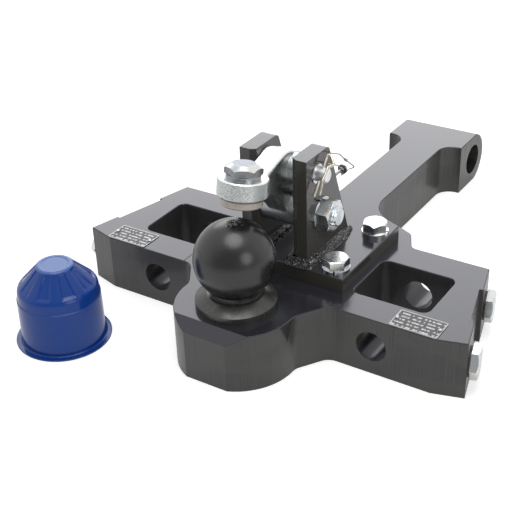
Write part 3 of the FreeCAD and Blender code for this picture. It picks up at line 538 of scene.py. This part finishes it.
def zinc_finish(name, settings, shade, top_dulling_and_shade=0.0, side_shading=0.0):
    """Bright bluish zinc plating; shade darkens it all, and its tops and sides can take painted
    shade.
    """
    bench = new_finish(name)
    place = bench.place()
    cloud = bench.speckle(place, 110, 3.0)
    fine = bench.speckle(place, 900, 2.0)
    rainbow = bench.speckle(place, 60, 2.0, 0.4).between(0.35, 0.65)
    marks = bench.streaks(place, (260, 800, 800), 3.0).between(0.6, 0.75)
    facing_up = bench.apart(bench.normal())[2]
    # Level tops greyed: partly a duller passivated finish, partly painted shade for a darker
    # reflection.
    dull_and_shaded_top = facing_up.between(0.9, 0.95) * (0.75 + fine * 0.25) * top_dulling_and_shade
    # Painted shade on the sides, standing in for the dark reflections on the flats.
    painted_side_shade = (1 - facing_up.between(0.4, 0.6)) * (0.7 + cloud * 0.3) * side_shading
    zinc, warm, cool = [tuple(shade * part for part in colour)
                        for colour in (settings.zinc, (0.76, 0.75, 0.72), (0.4, 0.45, 0.5))]
    colour = bench.layers(zinc,
                          (rainbow, warm),
                          (cloud.between(0.45, 0.8) * 0.5, cool),
                          (marks * 0.35, (0.25, 0.26, 0.27)),
                          (dull_and_shaded_top, (0.12, 0.132, 0.17)),
                          (painted_side_shade, (0.1, 0.105, 0.12)))
    roughness = 0.14 + cloud * 0.16 + marks * 0.12
    normal = bench.bumps(fine * 0.5 + cloud * 1.6, 0.00008, 0.8, bench.soft_edges(0.00035))
    return bench.finish(Base_Color=colour, Roughness=roughness, Metallic=1.0, Normal=normal)


def casting_finish(settings):
    """Zinc-plated casting with a fine sandy grain, with painted shade on its upright faces and
    more on its sides.
    """
    bench = new_finish("plated_casting")
    place = bench.place()
    grain = bench.speckle(place, 1 / settings.grain, 4.0, 0.7)
    swell = bench.speckle(place, 60, 2.0)
    pits = 1 - bench.cells(place, 330).between(0.04, 0.16)
    facing = bench.apart(bench.normal())
    # Painted shade on the faces towards the sides, standing in for the dark uprights they reflect.
    painted_flank_shade = facing[0].size().between(0.75, 0.95)
    # Painted shade: the upright faces are darkened, with the grain showing through.
    upright = 1 - facing[2].size().between(0.3, 0.8)
    painted_shade = bench.blend(grain.between(0.3, 0.6), (0.26, 0.28, 0.275), (0.64, 0.665, 0.66))
    colour = bench.layers((0.6, 0.63, 0.62),
                          (grain.between(0.25, 0.6), settings.casting),
                          (pits * 0.5, (0.24, 0.26, 0.26)),
                          (swell.between(0.5, 0.75) * 0.3, (0.5, 0.55, 0.56)),
                          (upright, painted_shade),
                          (painted_flank_shade * 0.75, (0.3, 0.325, 0.32)))
    height = grain + swell * 0.7 - pits * 0.8
    normal = bench.bumps(height, 0.00018, 0.8, bench.soft_edges(0.0012))
    return bench.finish(Base_Color=colour, Roughness=0.22 + grain * 0.14, Metallic=1.0,
                        Normal=normal)


def turned_finish(name, base, darker, lines_per_metre, smoothest, metallic):
    """Turned or drawn metal; lines_per_metre is how fine its lines are along each axis."""
    bench = new_finish(name)
    place = bench.place()
    lines = bench.streaks(place, lines_per_metre, 3.0, 0.6)
    cloud = bench.speckle(place, 130, 3.0)
    colour = bench.blend((lines * 0.6 + cloud * 0.4).between(0.35, 0.65), base, darker)
    roughness = smoothest + cloud * 0.12 + lines * 0.06
    normal = bench.bumps(lines + cloud * 0.7, 0.00005, 0.8, bench.soft_edges(0.0004))
    return bench.finish(Base_Color=colour, Roughness=roughness, Metallic=metallic, Normal=normal)


def aluminium_finish(settings, plate_box):
    """Dark etched aluminium sheet with a bare border and empty light fields in rows."""
    bench = new_finish("etched_aluminium")
    place = bench.place()
    x, y = bench.apart(place)[:2]
    x = x.size()
    low, high = plate_box
    from_end = (x - low[0]).least(high[0] - x)
    from_side = (y - low[1]).least(high[1] - y)
    inside = from_end.least(from_side).between(0.0011, 0.0014)
    row = (y - low[1]) / settings.field_pitch
    along = x * 260 + row.whole() * 7.3
    words = bench.add("ShaderNodeTexNoise", {"noise_dimensions": "1D"},
                      {"W": along, "Scale": 1.0, "Detail": 0.0})
    worn = bench.speckle(place, 620, 3.0, 0.7).between(0.42, 0.5)
    fields = row.fraction().within(0.26, 0.76, 0.08) * words.between(0.44, 0.47)
    fields = fields * inside * (worn * 0.7 + 0.3)
    brushed = bench.streaks(place, (50, 3200, 3200), 3.0, 0.6)
    stain = bench.speckle(place, 130, 3.0)
    scratches = bench.streaks(place, (700, 90, 700), 3.0).between(0.66, 0.74)
    dents = bench.speckle(place, 330, 2.0)
    colour = bench.layers(grey(0.4),
                          (brushed.between(0.3, 0.7), settings.aluminium),
                          ((1 - inside) * 0.45, grey(0.2)),
                          (inside * (1 - fields), settings.etched),
                          (stain.between(0.5, 0.75) * 0.35, (0.12, 0.12, 0.125)),
                          (scratches * 0.3, grey(0.5)))
    roughness = 0.3 + brushed * 0.14 + stain * 0.1
    height = brushed * 0.5 + dents * 2.2 + fields * 0.8
    normal = bench.bumps(height, 0.00009, 0.9, bench.soft_edges(0.0003))
    return bench.finish(Base_Color=colour, Roughness=roughness, Metallic=0.8, Normal=normal)


def cap_finish(settings):
    """Glossy blue moulded plastic, a little scuffed, with a painted highlight that makes its crown
    pale.
    """
    bench = new_finish("blue_plastic")
    place = bench.place()
    z = bench.apart(place)[2]
    flow = bench.streaks(place, (60, 60, 12), 3.0)
    peel = bench.speckle(place, 300, 2.0)
    grain = bench.speckle(place, 900, 2.0)
    scuff = bench.streaks(place, (240, 240, 900), 3.0).between(0.63, 0.74)
    # Painted highlight: the crown is made pale, with a little grain.
    crown = z.between(*CAP_LIT_CROWN)
    foot = 1 - z.between(*CAP_FOOT)
    colour = bench.layers(settings.colour,
                          (flow * 0.5, (0.008, 0.064, 0.33)),
                          (scuff * 0.12, (0.08, 0.14, 0.4)),
                          (crown * (0.4 + grain * 0.3), (0.14, 0.25, 0.58)),
                          (foot * 0.3, (0.006, 0.024, 0.14)))
    roughness = settings.roughness + flow * 0.06 + scuff * 0.12
    normal = bench.bumps(peel * 0.12 + flow * 1.6, 0.0001, 0.8)
    return bench.finish(Base_Color=colour, Roughness=roughness, Normal=normal, IOR=1.42)


# Ball cap

def section_line(corners, spacing):
    """Points along a half section; each corner is (radius, height, rounding)."""
    arc_steps = 6
    points = []
    for index, (radius, height, rounding) in enumerate(corners):
        corner = Vector((radius, height))
        run = [corner]
        if rounding:
            back = (Vector(corners[index - 1][:2]) - corner).normalized()
            ahead = (Vector(corners[index + 1][:2]) - corner).normalized()
            reach = rounding / math.tan(back.angle(ahead) / 2)
            shares = [step / arc_steps for step in range(arc_steps + 1)]
            run = [corner + back * reach * (1 - share) ** 2 + ahead * reach * share ** 2
                   for share in shares]
        if points:
            start = points[-1]
            count = max(1, round((run[0] - start).length / spacing))
            points += [start.lerp(run[0], step / count) for step in range(1, count)]
        points += run
    return points


def panel_sink(settings, top, radius, height, angle):
    """How deep the cap's cone is sunk at a place."""
    foot_margin, head_margin, head_slope = 0.0022, 0.0012, 1.6
    slope = settings.panel_slope
    pitch = 2 * math.pi / settings.panels
    off = abs((angle - settings.panel_turn + pitch / 2) % pitch - pitch / 2)
    across = smooth_step((settings.panel_angle / 2 - off) * radius / slope)
    foot = smooth_step((height - settings.shoulder_height - foot_margin) / slope)
    head = smooth_step((top - height - head_margin) / (slope * head_slope))
    return settings.panel_depth * across * foot * head


def cap_outside(settings, rim_radius, top):
    """The outer half section from the rim's foot to the middle of the crown."""
    rim, crown = settings.rim, settings.crown_radius
    chamfer_width, chamfer_height = 0.0005, 0.0004
    step_slope = 0.0005
    ring_width, ring_slope, ring_height = 0.0035, 0.0007, 0.0005
    return section_line([
        (rim_radius - chamfer_width, 0, 0),
        (rim_radius, chamfer_height, 0),
        (rim_radius, rim, 0.0005),
        (settings.foot_radius, rim, 0.0018),
        (settings.step_radius, settings.step_height, 0.0004),
        (settings.step_radius - settings.step_width, settings.step_height + step_slope, 0.0004),
        (settings.shoulder_radius, settings.shoulder_height, 0.009),
        (crown, top, 0.0035),
        (crown - ring_width, top, 0.001),
        (crown - ring_width - ring_slope, top - ring_height, 0.001),
        (0, top - ring_height, 0),
    ], spacing=0.0011)


def cap_inside(settings, top):
    """The inner half section from the middle of the crown down to the foot."""
    wall = settings.wall
    return section_line([
        (0, top - wall, 0),
        (settings.crown_radius - wall, top - wall, 0.002),
        (settings.shoulder_radius - wall, settings.shoulder_height - wall / 3, 0.006),
        (settings.foot_radius - wall, 0, 0),
    ], spacing=0.004)


def cap_mesh(settings, low, high):
    """Points and faces of the hollow cap, with its soft sunk panels."""
    top = high.z - low.z
    outer = cap_outside(settings, (high.x - low.x) / 2, top)
    section = outer + cap_inside(settings, top)
    rows, columns = len(section), 252
    middle = (low + high) / 2
    points = []
    for row, (radius, height) in enumerate(section):
        for column in range(columns):
            angle = 2 * math.pi * column / columns
            sink = panel_sink(settings, top, radius, height, angle) if row < len(outer) else 0
            across = max(radius - sink, 0)
            points.append((middle.x + across * math.cos(angle),
                           middle.y + across * math.sin(angle), low.z + height))
    faces = []
    for row in range(rows):
        for column in range(columns):
            a = row * columns + column
            b = row * columns + (column + 1) % columns
            ahead = ((row + 1) % rows - row) * columns
            faces.append((a, b, b + ahead, a + ahead))
    return points, faces


# Weld beads

def bead_path(low, high, spacing, corner_steps):
    """Points and outward directions round the foot of an upright."""
    points = []
    sides = [
        ((low[0], low[1]), (high[0], low[1]), (0, -1)),
        ((high[0], low[1]), (high[0], high[1]), (1, 0)),
        ((high[0], high[1]), (low[0], high[1]), (0, 1)),
        ((low[0], high[1]), (low[0], low[1]), (-1, 0)),
    ]
    for index, (start, end, out) in enumerate(sides):
        start, end, out = Vector(start), Vector(end), Vector(out)
        steps = max(2, int((end - start).length / spacing))
        for step in range(steps):
            points.append((start.lerp(end, step / steps), out))
        following = Vector(sides[(index + 1) % 4][2])
        for turn in range(1, corner_steps):
            points.append((end, out.slerp(following, turn / corner_steps)))
    return points


def lump_noise(spot, per_metre, slice_height, shift_x=0, shift_y=0):
    """A smooth noise from -1 to 1 at a place on the plate."""
    return noise.noise(Vector((spot.x * per_metre + shift_x, spot.y * per_metre + shift_y,
                               slice_height)))


def bead_mesh(low, high, foot_z, settings, seed):
    """Points and faces of one rippled bead round an upright's foot."""
    path = bead_path(low, high, spacing=0.0007, corner_steps=9)
    rows, count = 11, len(path)
    middle_reach = settings.leg * 0.6
    rear_length, rear_loss, belly = 0.012, 0.45, 0.0006
    points = []
    length = 0.0
    last = path[0][0] + path[0][1] * middle_reach
    for place, out in path:
        centre = place + out * middle_reach
        length += (centre - last).length
        last = centre
        lump = lump_noise(centre, 160, slice_height=3.1, shift_x=seed)
        swell = lump_noise(centre, 45, slice_height=9.7, shift_y=seed)
        rear = smooth_step((centre.y - high[1] + rear_length) / rear_length)
        grow = (1 + 0.1 * lump + 0.14 * swell) * (1 - rear_loss * rear)
        for row in range(rows):
            rise = row / (rows - 1)
            bulge = math.sin(math.pi * rise)
            phase = (length + settings.ripple * 0.8 * bulge) / settings.ripple + lump * 0.5
            crest = (phase % 1.0) ** 0.5
            grit = lump_noise(centre, 900, slice_height=rise * 6 + seed)
            ripple = settings.crest * (crest - 0.5) * (0.35 + bulge)
            lift = ripple + settings.grit * grit + belly * bulge
            wide = settings.leg * grow * (1 - rise) + lift
            tall = settings.throat * grow * rise + lift
            spot = place + out * max(wide, 0.0)
            points.append((spot.x, spot.y, foot_z + max(tall, 0.0)))
    faces = []
    for step in range(count):
        for row in range(rows - 1):
            a = step * rows + row
            b = ((step + 1) % count) * rows + row
            faces.append((a, b, b + 1, a + 1))
    return points, faces


# Operators

class HITCH_OT_paint(bpy.types.Operator):
    """Paints the body, the bracket plate and the uprights"""
    bl_idname = "hitch.paint"
    bl_label = "Painted steel"

    def execute(self, context):
        settings = context.scene.hitch_paint
        wear(["hitch_body"], painted_finish("graphite_paint", settings, drag_share=1.0))
        wear(["bracket_plate", "upright_left", "upright_right"],
             painted_finish("smooth_graphite_paint", settings, drag_share=0.08))
        return {"FINISHED"}


class HITCH_OT_welds(bpy.types.Operator):
    """Lays the rippled weld beads round the uprights"""
    bl_idname = "hitch.welds"
    bl_label = "Weld beads"

    def execute(self, context):
        settings = context.scene.hitch_weld
        material = weld_finish(context.scene.hitch_paint)
        plate_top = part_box("bracket_plate")[1][2]
        seed_step = 5.3
        for index, side in enumerate(("left", "right")):
            low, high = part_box("upright_" + side)
            seed = settings.seed + index * seed_step
            points, faces = bead_mesh(low, high, plate_top, settings, seed)
            piece = new_piece("weld_bead_" + side, points, faces, material, "frame")
            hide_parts("weld_" + side)
        return {"FINISHED"}


class HITCH_OT_ball(bpy.types.Operator):
    """Finishes the towing ball"""
    bl_idname = "hitch.ball"
    bl_label = "Ball"

    def execute(self, context):
        wear(["tow_ball"], ball_finish(context.scene.hitch_metal))
        return {"FINISHED"}


class HITCH_OT_fasteners(bpy.types.Operator):
    """Finishes the bolts, nuts, washers and the keeper loop"""
    bl_idname = "hitch.fasteners"
    bl_label = "Fasteners"

    def execute(self, context):
        metal = context.scene.hitch_metal
        wear(["plate_bolts", "plate_bolt_washers", "pivot_bolt", "pivot_washer", "pivot_nut",
              "lock_pin_guide_ring", "end_bolts_left", "end_bolts_right"],
             zinc_finish("zinc_plating", metal, shade=1.0))
        wear(["hold_down_bolt"],
             zinc_finish("dull_zinc_plating", metal, shade=1.0, top_dulling_and_shade=1.0, side_shading=0.9))
        wear(["hold_down_washer"], zinc_finish("dark_zinc_plating", metal, shade=0.45))
        wear(["keeper_loop"],
             turned_finish("dark_wire", (0.36, 0.36, 0.37), (0.5, 0.5, 0.51),
                           (900, 900, 900), smoothest=0.3, metallic=1.0))
        wear(["end_washers_left", "end_washers_right"],
             turned_finish("dark_washer", grey(0.05), grey(0.09),
                           (300, 300, 300), smoothest=0.3, metallic=0.6))
        return {"FINISHED"}


class HITCH_OT_hold_down(bpy.types.Operator):
    """Finishes the hold-down's casting, pad and bush"""
    bl_idname = "hitch.hold_down"
    bl_label = "Hold-down"

    def execute(self, context):
        metal = context.scene.hitch_metal
        wear(["hold_down_arm"], casting_finish(metal))
        worn_bronze = tuple(0.72 * part for part in metal.bronze)
        wear(["hold_down_pad", "pivot_bush"],
             turned_finish("pad_bronze", metal.bronze, worn_bronze,
                           (160, 160, 2400), smoothest=0.3, metallic=0.55))
        return {"FINISHED"}


class HITCH_OT_lock_pin(bpy.types.Operator):
    """Finishes the side lock pin, its clip and its lanyard screw"""
    bl_idname = "hitch.lock_pin"
    bl_label = "Lock pin"

    def execute(self, context):
        metal = context.scene.hitch_metal
        wear(["lock_pin"],
             turned_finish("bright_steel", (0.9, 0.91, 0.92), (0.68, 0.69, 0.7),
                           (2600, 90, 90), smoothest=0.26, metallic=1.0))
        wear(["spring_clip"],
             turned_finish("yellow_zinc", metal.yellow, (0.46, 0.41, 0.33),
                           (260, 200, 200), smoothest=0.18, metallic=1.0))
        wear(["lanyard_screw"],
             turned_finish("screw_steel", (0.48, 0.49, 0.5), (0.25, 0.255, 0.26),
                           (500, 500, 500), smoothest=0.2, metallic=1.0))
        return {"FINISHED"}


class HITCH_OT_plates(bpy.types.Operator):
    """Finishes the bare rating plates and their rivets"""
    bl_idname = "hitch.plates"
    bl_label = "Rating plates"

    def execute(self, context):
        metal = context.scene.hitch_metal
        plate_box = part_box("rating_plate_right")
        wear(["rating_plate_left", "rating_plate_right"], aluminium_finish(metal, plate_box))
        wear(["rating_plate_rivets"],
             turned_finish("rivet_aluminium", metal.aluminium, grey(0.3),
                           (500, 500, 500), smoothest=0.3, metallic=1.0))
        return {"FINISHED"}


class HITCH_OT_cap(bpy.types.Operator):
    """Moulds the ball cap with its sunk panels"""
    bl_idname = "hitch.cap"
    bl_label = "Ball cap"

    def execute(self, context):
        settings = context.scene.hitch_cap
        low, high = [Vector(corner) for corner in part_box("ball_cap")]
        points, faces = cap_mesh(settings, low, high)
        material = cap_finish(settings)
        piece = new_piece("moulded_cap", points, faces, material, "cap",
                          smooth=True)
        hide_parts("ball_cap")
        return {"FINISHED"}


# Studio

def ray_kinds(bench):
    """1 for the camera's own rays, and 1 for those and the rays of gloss and glass."""
    outputs = bench.add("ShaderNodeLightPath").socket.node.outputs
    camera, gloss, glass = [Flow(bench, outputs[name]) for name in
                            ("Is Camera Ray", "Is Glossy Ray", "Is Transmission Ray")]
    return camera, camera.most(gloss).most(glass)


def floor_finish(settings):
    """Pale floor that shows as white to the camera and in gloss, with the shadow kept."""
    bench = new_finish("pale_floor")
    camera, seen = ray_kinds(bench)
    diffuse = bench.add("ShaderNodeBsdfDiffuse", {}, {"Color": settings.floor})
    in_gloss, in_view = [
        bench.add("ShaderNodeEmission", {}, {"Color": grey(1), "Strength": strength})
        for strength in (0.25, 0.55)]
    glow = bench.mixed(camera, in_gloss, in_view)
    lifted = bench.add("ShaderNodeAddShader", {}, {0: diffuse, 1: glow})
    bench.add("ShaderNodeOutputMaterial", {}, {"Surface": bench.mixed(seen, diffuse, lifted)})
    return bench.owner


def add_world(settings):
    """A white room, at full strength to the camera, with a dim side behind the camera in gloss."""
    world = bpy.data.worlds.new("studio")
    bpy.context.scene.world = world
    bench = Bench(world)
    camera, seen = ray_kinds(bench)
    front = (math.sin(settings.azimuth), -math.cos(settings.azimuth), 0)
    direction = bench.add("ShaderNodeTexCoord", output="Generated")
    toward = bench.add("ShaderNodeVectorMath", {"operation": "DOT_PRODUCT"},
                       {0: direction, 1: front}, "Value")
    behind = toward.between(0.0, 0.75) * (1 - camera)
    room, backdrop, dim = [
        bench.add("ShaderNodeBackground", {}, {"Color": grey(1), "Strength": strength})
        for strength in (settings.world, 1.0, 1 - settings.dim_side)]
    mixed = bench.mixed(seen, room, bench.mixed(behind, backdrop, dim))
    bench.add("ShaderNodeOutputWorld", {}, {"Surface": mixed})


def add_floor(settings):
    """A wide sheet just below the hitch."""
    reach, gap = 6.0, 0.0003
    corners = [(-reach, -reach, 0), (reach, -reach, 0), (reach, reach, 0), (-reach, reach, 0)]
    mesh = bpy.data.meshes.new("studio_floor")
    mesh.from_pydata(corners, [], [(0, 1, 2, 3)])
    mesh.materials.append(floor_finish(settings))
    floor = bpy.data.objects.new("studio_floor", mesh)
    floor.location.z = -gap
    bpy.context.scene.collection.objects.link(floor)


def add_lamp(name, place, size, power):
    """A soft oval lamp that faces the middle of the hitch."""
    middle = Vector((0.0, 0.15, 0.05))
    data = bpy.data.lights.new(name, "AREA")
    data.shape = "ELLIPSE"
    data.size, data.size_y = size
    data.energy = power
    lamp = bpy.data.objects.new(name, data)
    lamp.location = place
    lamp.rotation_euler = (middle - Vector(place)).to_track_quat("-Z", "Y").to_euler()
    lamp.visible_camera = False
    bpy.context.scene.collection.objects.link(lamp)


def add_camera(settings):
    """The camera at the photograph's place."""
    azimuth, elevation, roll = settings.azimuth, settings.elevation, settings.roll
    back = Vector((math.sin(azimuth) * math.cos(elevation),
                   -math.cos(azimuth) * math.cos(elevation), math.sin(elevation)))
    right = Vector((math.cos(azimuth), math.sin(azimuth), 0))
    up = back.cross(right)
    across = right * math.cos(roll) + up * math.sin(roll)
    rise = up * math.cos(roll) - right * math.sin(roll)
    turn = Matrix((across, rise, back)).transposed().to_4x4()
    data = bpy.data.cameras.new("photo_camera")
    data.lens = settings.lens
    data.sensor_width = 36
    data.clip_start = 0.01
    camera = bpy.data.objects.new("photo_camera", data)
    camera.matrix_world = Matrix.Translation(Vector(settings.place)) @ turn
    bpy.context.scene.collection.objects.link(camera)
    bpy.context.scene.camera = camera


class HITCH_OT_stage(bpy.types.Operator):
    """Sets the floor, the lamps, the room and the camera"""
    bl_idname = "hitch.stage"
    bl_label = "Studio"

    def execute(self, context):
        settings = context.scene.hitch_stage
        add_floor(settings)
        add_lamp("back_lamp", (-1.15, 1.85, 1.25), size=(2.6, 1.7), power=settings.key_power)
        add_lamp("top_lamp", (0.2, -0.2, 2.2), size=(1.6, 1.6), power=settings.top_power)
        add_lamp("side_lamp", (1.9, -0.6, 1.0), size=(1.2, 1.2), power=settings.side_power)
        add_world(settings)
        add_camera(settings)
        context.scene.view_settings.view_transform = "Standard"
        return {"FINISHED"}


# Panel and registration

class HITCH_PT_panel(bpy.types.Panel):
    """Buttons and settings for every group of the hitch"""
    bl_idname = "HITCH_PT_panel"
    bl_label = "Ball Hitch"
    bl_space_type = "VIEW_3D"
    bl_region_type = "UI"
    bl_category = "Ball Hitch"

    def draw(self, context):
        for operator in OPERATORS:
            self.layout.operator(operator.bl_idname)
        for name, group in SETTINGS.items():
            box = self.layout.box()
            for item in group.__annotations__:
                box.prop(getattr(context.scene, name), item)


OPERATORS = (
    HITCH_OT_paint,
    HITCH_OT_welds,
    HITCH_OT_ball,
    HITCH_OT_fasteners,
    HITCH_OT_hold_down,
    HITCH_OT_lock_pin,
    HITCH_OT_plates,
    HITCH_OT_cap,
    HITCH_OT_stage,
)
SETTINGS = {
    "hitch_paint": PaintSettings,
    "hitch_metal": MetalSettings,
    "hitch_cap": CapSettings,
    "hitch_weld": WeldSettings,
    "hitch_stage": StageSettings,
}


def register():
    for group in (*SETTINGS.values(), *OPERATORS, HITCH_PT_panel):
        bpy.utils.register_class(group)
    for name, group in SETTINGS.items():
        setattr(bpy.types.Scene, name, bpy.props.PointerProperty(type=group))


def unregister():
    for name in SETTINGS:
        delattr(bpy.types.Scene, name)
    for group in (HITCH_PT_panel, *reversed(OPERATORS), *reversed(SETTINGS.values())):
        bpy.utils.unregister_class(group)


def main():
    register()
    for operator in OPERATORS:
        group, name = operator.bl_idname.split(".")
        getattr(getattr(bpy.ops, group), name)()
    bpy.context.view_layer.update()


if __name__ == "__main__":
    main()
